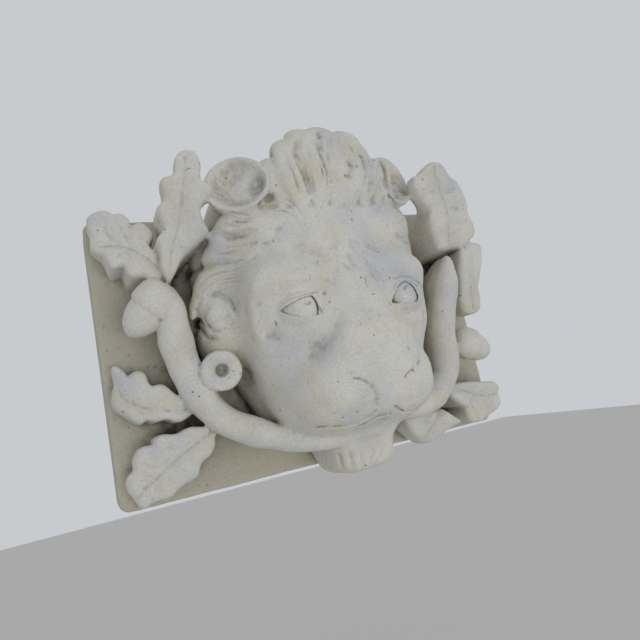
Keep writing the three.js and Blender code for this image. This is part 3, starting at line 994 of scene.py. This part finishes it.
hollow((323.7, 293), 4, 3)
hollow((328.7, 301.5), 3, 2)
cut([(391.7, 279), (402, 277), (411.8, 278.4), (419.8, 283), (423.8, 289.8)], 2.6, 1.6, taper=0.15)
cut([(396.5, 288), (400.5, 283), (405.7, 280.4), (411.3, 281.4), (416.4, 285.6), (420.6, 293)], 2.2, 1.6, taper=0.1)
cut([(420, 297), (415, 302), (408.5, 303.9), (400, 303), (393, 303.5)], 2, 1.0, taper=0.15)
cut([(404, 289.5), (405, 285.5), (409, 284.5)], 2.8, 3.2, taper=0.1)  # pupil
hollow((390.4, 303.5), 4, 3.5)
stone.refresh()
print("eyes cut")

# Nose crease, the groove of the lip and the mouth.
stone.seeTree()
cut([(344.6, 370), (350, 373.5), (355.4, 377.7), (366, 382), (370, 386)], 3.4, 3.0, both=True, taper=0.12)
cut([(370, 384), (376, 391), (377, 402), (378, 408)], 4.5, 2.6, taper=0.15)
cut([(314, 429), (328, 428), (344, 428), (357, 424), (368, 418), (378, 409.5)], 4, 4, both=True, taper=0.1)
cut([(352, 430), (364, 425), (374, 419), (384, 416), (392, 418)], 7, 9, taper=0.15, towards=(0, -1, 0))
stone.refresh()
print("mouth cut")

# Nothing stands outside the solid's box.
low, high = [np.array(corner) * 1000 for corner in cadBox]
stone.points = np.clip(stone.points, low + 0.3, high - 0.3)
stone.refresh()
for polygon in lionMask.data.polygons:
    polygon.use_smooth = True


def keepAttribute(mesh, name, values):
    layer = mesh.attributes.new(name, "FLOAT", "POINT")
    layer.data.foreach_set("value", np.asarray(values, np.float32))


# How far each place lies in a hollow, finely and broadly: the material paints shade into the hollows and leaves
# proud edges light. Both are kept on the skin for the material.
stone.seeTree()
fineHollow = np.einsum("ij,ij->i", stone.smoothed(5, 0.6) - stone.points, stone.normals)
broadHollow = np.einsum("ij,ij->i", stone.smoothed(40, 0.6) - stone.points, stone.normals)
keepAttribute(lionMask.data, "fineHollow", fineHollow)
keepAttribute(lionMask.data, "broadHollow", broadHollow)
depthHere = -stone.points[:, 1] - plate["thickness"]
keepAttribute(lionMask.data, "ground", 1 - smoothStep(depthHere, 2, 16))

# How much sky each place sees, from a few thousand places: where little sky is seen, the material paints shade.
rng = np.random.default_rng(7)
count = 12000
sampled = rng.choice(len(stone.points), count, replace=False)
ways = rng.normal(size=(28, 3))
ways /= np.linalg.norm(ways, axis=1)[:, None]
sky = np.zeros(count)
for k, index in enumerate(sampled):
    point, normal = stone.points[index], stone.normals[index]
    start = Vector(point + normal * 1.5)
    open_, total = 0.0, 0.0
    for way in ways:
        facing = float(way @ normal)
        aim = way if facing > 0 else -way
        weight = abs(facing)
        total += weight
        if stone.tree.ray_cast(start, Vector(aim), 110)[0] is None:
            open_ += weight
    sky[k] = open_ / max(total, 1e-6)
skyTree = KDTree(count)
for k, index in enumerate(sampled):
    skyTree.insert(stone.points[index], k)
skyTree.balance()
shelter = np.zeros(len(stone.points))
for i, point in enumerate(stone.points):
    total = value = 0.0
    for _, k, away in skyTree.find_n(point, 4):
        weight = 1 / (away + 1.0)
        total += weight
        value += weight * (1 - sky[k])
    shelter[i] = value / total
keepAttribute(lionMask.data, "shelter", shelter)
print("dirt placed")


def hexColour(text):
    parts = [int(text[i:i + 2], 16) / 255 for i in (1, 3, 5)]
    linear = [p / 12.92 if p <= 0.04045 else ((p + 0.055) / 1.055) ** 2.4 for p in parts]
    return (*linear, 1)


def addNode(tree, kind, settings=None, inputs=None):
    node = tree.nodes.new(kind)
    for name, value in (settings or {}).items():
        setattr(node, name, value)
    for name, value in (inputs or {}).items():
        if isinstance(value, bpy.types.NodeSocket):
            tree.links.new(value, node.inputs[name])
        else:
            node.inputs[name].default_value = value
    return node


# Carved limestone, dry and unpolished: pale cream, bluish grey where rain has washed it, grey grain and pits, and
# painted shade in the hollows, warm where sheltered and grey to near black in creases and deep recesses. It
# scatters light almost evenly, so it is rough and has no gloss.
limestone = {
    "pale": "#dedcd5",
    # the warm colour is a random stain, and also painted shade in sheltered places
    "cool": "#cccdd0",
    "warmToneAndShade": "#d6d0bc",
    "ground": "#bdb8a6",
    # this grey is the stone's grain and pits, and also painted shade in narrow hollows
    "dirtAndShade": "#7b7566",
    # the darkest colour is painted shade for deep recesses
    "paintedDeepShade": "#2d2a25",
    "roughness": 0.93,
    "toolMark": 4,  # mm between the marks of the claw chisel
    "grain": 2.2,  # mm, coarser than the real grain so that it shows
    "pit": 6.5,  # mm
}


def limestoneMaterial():
    material = bpy.data.materials.new("carvedLimestone")
    material.use_nodes = True
    tree = material.node_tree
    tree.nodes.clear()
    where = addNode(tree, "ShaderNodeTexCoord").outputs["Object"]

    def perMetre(mm):
        return 1000 / mm

    def attribute(name):
        return addNode(tree, "ShaderNodeAttribute", {"attribute_name": name}).outputs["Fac"]

    def spots(mm, detail=4, roughness=0.6, vector=where):
        return addNode(tree, "ShaderNodeTexNoise", inputs={
            "Vector": vector, "Scale": perMetre(mm), "Detail": detail, "Roughness": roughness,
        }).outputs["Fac"]

    def sums(operation, a, b=0.5, clamp=False):
        return addNode(tree, "ShaderNodeMath", {"operation": operation, "use_clamp": clamp},
                       {0: a, 1: b}).outputs[0]

    def mix(factor, a, b):
        return addNode(tree, "ShaderNodeMix", {"data_type": "RGBA"}, {0: factor, 6: a, 7: b}).outputs[2]

    def spread(value, low, high):
        return addNode(tree, "ShaderNodeMapRange", inputs={
            "Value": value, "From Min": low, "From Max": high}).outputs["Result"]

    colours = {name: hexColour(limestone[name]) for name in ("pale", "cool", "warmToneAndShade", "ground", "dirtAndShade", "paintedDeepShade")}
    shelterValue = attribute("shelter")
    fine, broad, ground = attribute("fineHollow"), attribute("broadHollow"), attribute("ground")
    stainedAndShaded = mix(spread(spots(80, 4), 0.46, 0.66), colours["pale"], colours["cool"])
    stainedAndShaded = mix(sums("MULTIPLY", spread(spots(50, 5), 0.48, 0.68), 0.8), stainedAndShaded, colours["warmToneAndShade"])
    # painted shade: places that see little sky turn warmer and darker
    stainedAndShaded = mix(sums("MULTIPLY", spread(shelterValue, 0.4, 0.8), 0.5), stainedAndShaded, colours["warmToneAndShade"])
    stainedAndShaded = mix(sums("MULTIPLY", ground, 0.85), stainedAndShaded, colours["ground"])
    speckle = spread(spots(limestone["grain"], 4, 0.75), 0.4, 0.72)
    stainedAndShaded = mix(sums("MULTIPLY", speckle, 0.3), stainedAndShaded, colours["dirtAndShade"])
    # painted shade: grey darkening in narrow hollows, broken up by noise, fading out over the open surface
    crease = sums("MULTIPLY", spread(fine, 0.08, 1.0), spread(spots(9, 5, 0.7), 0.3, 0.55), True)
    stainedAndShaded = mix(sums("MULTIPLY", crease, 0.75), stainedAndShaded, colours["dirtAndShade"])
    # painted shade: near black in broad hollows that see little sky, broken up by noise
    dark = sums("MULTIPLY", spread(shelterValue, 0.52, 0.9), spread(broad, -1.0, 4), True)
    dark = sums("MULTIPLY", dark, spread(spots(14, 5, 0.7), 0.2, 0.6), True)
    stainedAndShaded = mix(sums("MULTIPLY", dark, 0.9), stainedAndShaded, colours["paintedDeepShade"])
    # pits of uneven size, where the stone has lost a shell or a soft grain
    pitField = spots(limestone["pit"], 2, 0.45)
    sparse = spread(spots(70, 2), 0.35, 0.6)
    pit = sums("MULTIPLY", spread(pitField, 0.7, 0.76), sparse, True)
    stainedAndShaded = mix(sums("MULTIPLY", pit, 0.75), stainedAndShaded, colours["dirtAndShade"])

    def toolMarks(turn, thin):
        # the claw chisel's parallel strokes, long one way and narrow the other
        vector = addNode(tree, "ShaderNodeMapping", inputs={
            "Vector": where, "Rotation": turn, "Scale": (thin, 1, 1)}).outputs["Vector"]
        return spots(limestone["toolMark"], 3, 0.55, vector)

    byPlace = spread(spots(60, 1), 0.45, 0.55)
    marks = addNode(tree, "ShaderNodeMix", {"data_type": "FLOAT"}, {
        0: byPlace, 2: toolMarks((0.2, 0.9, 0.3), 0.2), 3: toolMarks((0.5, -0.5, -0.2), 0.2)}).outputs[0]
    relief = sums("ADD", sums("MULTIPLY", marks, 0.8), sums("MULTIPLY", spots(limestone["grain"], 4, 0.75), 0.55))
    relief = sums("SUBTRACT", relief, sums("MULTIPLY", pit, 1.2))
    bump = addNode(tree, "ShaderNodeBump", inputs={
        "Strength": 0.8, "Distance": 0.0012, "Height": relief}).outputs["Normal"]
    shader = addNode(tree, "ShaderNodeBsdfPrincipled", inputs={"Base Color": stainedAndShaded, "Normal": bump})
    shader.inputs["Roughness"].default_value = limestone["roughness"]
    shader.inputs["IOR"].default_value = 1.45
    shader.inputs["Specular IOR Level"].default_value = 0.25
    addNode(tree, "ShaderNodeOutputMaterial", inputs={"Surface": shader.outputs["BSDF"]})
    return material


lionMask.data.materials.clear()
lionMask.data.materials.append(limestoneMaterial())
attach(lionMask, "root")
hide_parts("lion_mask")
print("material on")


# Camera, floor and a soft studio.
def plainMaterial(name, colour):
    material = bpy.data.materials.new(name)
    material.use_nodes = True
    shader = material.node_tree.nodes["Principled BSDF"]
    shader.inputs["Base Color"].default_value = hexColour(colour)
    shader.inputs["Roughness"].default_value = 0.9
    return material


studio = {"floorAt": -0.9, "floor": "#d4d2cd", "world": "#dfe2e6", "worldStrength": 0.78, "key": 26}

camera = bpy.data.cameras.new("camera")
camera.sensor_width = 36
camera.lens = view["focal"] / view["size"] * 36
cameraObject = newPiece("camera", camera)
right, up, axis = [Vector(view[name]).normalized() for name in ("right", "up", "axis")]
turn = Matrix((right, up, -axis)).transposed().to_4x4()
cameraObject.matrix_world = Matrix.Translation(view["place"]) @ turn
bpy.context.scene.camera = cameraObject

ground = bmesh.new()
bmesh.ops.create_grid(ground, x_segments=1, y_segments=1, size=6)
bmesh.ops.translate(ground, vec=(0, 0, studio["floorAt"]), verts=ground.verts)
groundMesh = bpy.data.meshes.new("floor")
ground.to_mesh(groundMesh)
ground.free()
floor = newPiece("floor", groundMesh)
floor.data.materials.append(plainMaterial("studioFloor", studio["floor"]))


def softLight(name, place_, target, size, power):
    lamp = bpy.data.lights.new(name, "AREA")
    lamp.size = size
    lamp.energy = power
    lampObject = newPiece(name, lamp)
    way = Vector(target) - Vector(place_)
    lampObject.matrix_world = Matrix.Translation(place_) @ way.to_track_quat("-Z", "Y").to_matrix().to_4x4()


softLight("keyLight", (0.1, -2.0, -1.0), (0, -0.1, 0), 1.6, studio["key"])
world = bpy.data.worlds.new("studio")
world.use_nodes = True
background = world.node_tree.nodes["Background"]
background.inputs["Color"].default_value = hexColour(studio["world"])
background.inputs["Strength"].default_value = studio["worldStrength"]
bpy.context.scene.world = world
bpy.context.scene.view_settings.view_transform = "Standard"

print("triangles", sum(len(p.vertices) - 2 for p in lionMask.data.polygons))
